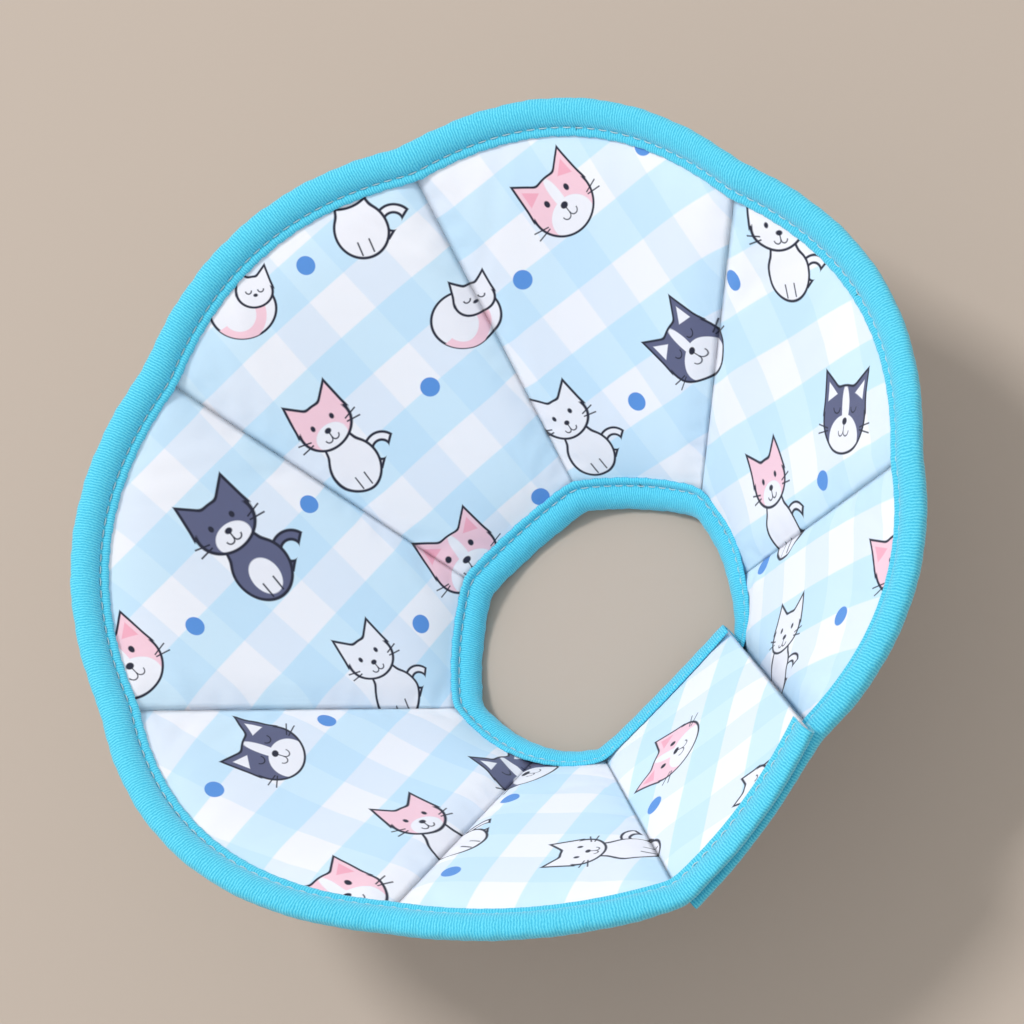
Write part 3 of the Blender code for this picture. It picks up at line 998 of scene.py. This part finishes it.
def binding(path, k, rim, material):
    """The folded band across seam k, from mid-panel to mid-panel."""
    rows = seam_rows(path, k)
    outline, seen = band_profile()
    inward, height = band_shape(path, rows, outline, seen)
    verts = band_points(path, rows, inward, height).reshape(-1, 3)
    if not rim:
        verts[:, 2] = np.maximum(verts[:, 2], 0.0)
    size = len(outline)
    faces = []
    for i in range(len(rows) - 1):
        for j in range(size):
            a, b = i * size + j, i * size + (j + 1) % size
            faces.append((a, a + size, b + size, b) if rim else (a, b, b + size, a + size))
    last = (len(rows) - 1) * size
    caps = [list(range(size)), [last + j for j in range(size)]]
    sharp = [(cap[j], cap[(j + 1) % size]) for cap in caps for j in range(size)]
    if rim:
        faces += [tuple(caps[0]), tuple(reversed(caps[1]))]
    else:
        faces += [tuple(reversed(caps[0])), tuple(caps[1])]
    around = np.concatenate([[0.0], np.cumsum(np.linalg.norm(np.diff(outline, axis=0), axis=1))])
    uvs = np.stack(np.broadcast_arrays(path["arc"][rows][:, None], around[None, :]), axis=-1)
    kind = "rim" if rim else "neck"
    piece = mesh_piece(f"seam_{k}_{kind}_binding", verts, faces, material,
                       uvs.reshape(-1, 2), "band_map", sharp)
    bend_over(piece, k)
    nodes = [f"{PANELS[k]}_{kind}_binding"]
    if k == 1:
        nodes.append(f"tab_{kind}_binding")
    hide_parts(*nodes)
    return piece


def dash(path, start, side, verts, faces, uvs):
    """One stitch lying in the groove, as a short tube whose ends dip into the knit."""
    stops = np.linspace(start, start + DASH, 7)
    rise = np.array([-0.45, 0.0, 0.18, 0.24, 0.18, 0.0, -0.45])
    thick = np.array([0.7, 1.0, 1.0, 1.0, 1.0, 1.0, 0.7]) * THREAD
    arc = path["arc"]
    if stops[-1] > arc[-1]:
        return
    place = [np.interp(stops, arc, path["point"][:, c]) for c in range(3)]
    normal = [np.interp(stops, arc, path["normal"][:, c]) for c in range(3)]
    up = [np.interp(stops, arc, path["up"][:, c]) for c in range(3)]
    place, normal, up = (np.stack(v, axis=1) for v in (place, normal, up))
    centre = (place + up * (BAND - GROOVE) * path["way"]
              + normal * side * (POCKET_FACE + THREAD + rise)[:, None])
    first, ring = len(verts), THREAD_SIDES
    for i in range(len(stops)):
        for j in range(ring):
            a = j * 2.0 * math.pi / ring
            verts.append(centre[i] + (up[i] * math.cos(a) + normal[i] * math.sin(a)) * thick[i])
            uvs.append((stops[i], thick[i] * a * 3.0))
    for i in range(len(stops) - 1):
        for j in range(ring):
            a, b = first + i * ring + j, first + i * ring + (j + 1) % ring
            faces.append((a, b, b + ring, a + ring))
    last = first + (len(stops) - 1) * ring
    faces.append(tuple(first + j for j in reversed(range(ring))))
    faces.append(tuple(last + j for j in range(ring)))


def topstitch(paths, k, material):
    """All stitches of the pieces at seam k."""
    verts, faces, uvs = [], [], []
    for path in paths:
        rows = seam_rows(path, k)
        low, high = path["arc"][rows[0]], path["arc"][rows[-1]]
        number = math.ceil(low / STITCH)
        while number * STITCH + DASH < high or (number * STITCH < high and k < 8):
            for side in (-1.0, 1.0):
                dash(path, number * STITCH, side, verts, faces, uvs)
            number += 1
    piece = mesh_piece(f"seam_{k}_topstitch", np.array(verts), faces, material,
                       np.array(uvs), "band_map")
    bend_over(piece, k)
    return piece


# --- the room --------------------------------------------------------------------------

LENS = 105.47             # millimetres, on a sensor 36 mm wide
CAMERA_SPOT = (0.02245, -0.39098, 0.8115)
CAMERA_RIGHT = (0.7475, -0.5793, -0.3249)
CAMERA_FORWARD = (-0.0203, 0.4691, -0.8829)
KEY_SPOT = (-0.33, 0.88, 2.15)
KEY_SIZE = 0.5
KEY_POWER = 27.0
SKY_STRENGTH = 0.71
FLOOR_REACH = 4.0


def camera():
    """Camera looking steeply down into the cone, and rolled."""
    data = bpy.data.cameras.new("camera")
    data.sensor_width = 36.0
    data.lens = LENS
    obj = bpy.data.objects.new("camera", data)
    right = Vector(CAMERA_RIGHT).normalized()
    forward = Vector(CAMERA_FORWARD).normalized()
    up = right.cross(forward).normalized()
    right = forward.cross(up).normalized()
    turn = Matrix((right, up, -forward)).transposed().to_4x4()
    obj.matrix_world = Matrix.Translation(Vector(CAMERA_SPOT)) @ turn
    data.clip_start, data.clip_end = 0.01, 20.0
    bpy.context.scene.collection.objects.link(obj)
    bpy.context.scene.camera = obj


def light(name, spot, size, power, colour):
    """Square soft light aimed at the collar."""
    data = bpy.data.lights.new(name, "AREA")
    data.shape, data.size = "SQUARE", size
    data.energy, data.color = power, colour
    obj = bpy.data.objects.new(name, data)
    obj.location = spot
    aim = Vector((0.0, 0.0, 0.04)) - Vector(spot)
    obj.rotation_euler = aim.to_track_quat("-Z", "Y").to_euler()
    bpy.context.scene.collection.objects.link(obj)


def room():
    """Plain warm floor under soft studio light, mostly from above."""
    material, _, shader = new_material("floor", 0.95)
    shader.inputs["Base Color"].default_value = FLOOR_TONE
    mesh = bpy.data.meshes.new("floor")
    far = FLOOR_REACH
    mesh.from_pydata([(-far, -far, 0), (far, -far, 0), (far, far, 0), (-far, far, 0)],
                     [], [(0, 1, 2, 3)])
    mesh.materials.append(material)
    floor = bpy.data.objects.new("floor", mesh)
    bpy.context.scene.collection.objects.link(floor)
    light("key", KEY_SPOT, KEY_SIZE, KEY_POWER, (1.0, 1.0, 1.0))
    world = bpy.data.worlds.new("studio")
    world.use_nodes = True
    background = world.node_tree.nodes["Background"]
    background.inputs["Color"].default_value = (1.0, 0.99, 0.98, 1.0)
    background.inputs["Strength"].default_value = SKY_STRENGTH
    bpy.context.scene.world = world
    bpy.context.scene.view_settings.view_transform = "Standard"


# --- making it -------------------------------------------------------------------------

camera()
room()

pads = [quilt(panel) for panel in STRIP]
swell(pads)
for pad in pads:
    name = pad["panel"].name
    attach(pad["object"], name)
    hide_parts(f"{name}_inner_cover", f"{name}_foam_pad", f"{name}_outer_cover")

knit = knit_material()
thread = thread_material()
rim_path, neck_path = band_path(True), band_path(False)
for k in range(1, 9):
    binding(rim_path, k, True, knit)
    binding(neck_path, k, False, knit)
    topstitch((rim_path, neck_path), k, thread)

bpy.data.objects["tab_loop_tape"].material_slots[0].material = tape_material(
    "loop_tape", LOOP_TONE, LOOP_PITCH)
bpy.data.objects["flap_hook_tape"].material_slots[0].material = tape_material(
    "hook_tape", HOOK_TONE, HOOK_PITCH)
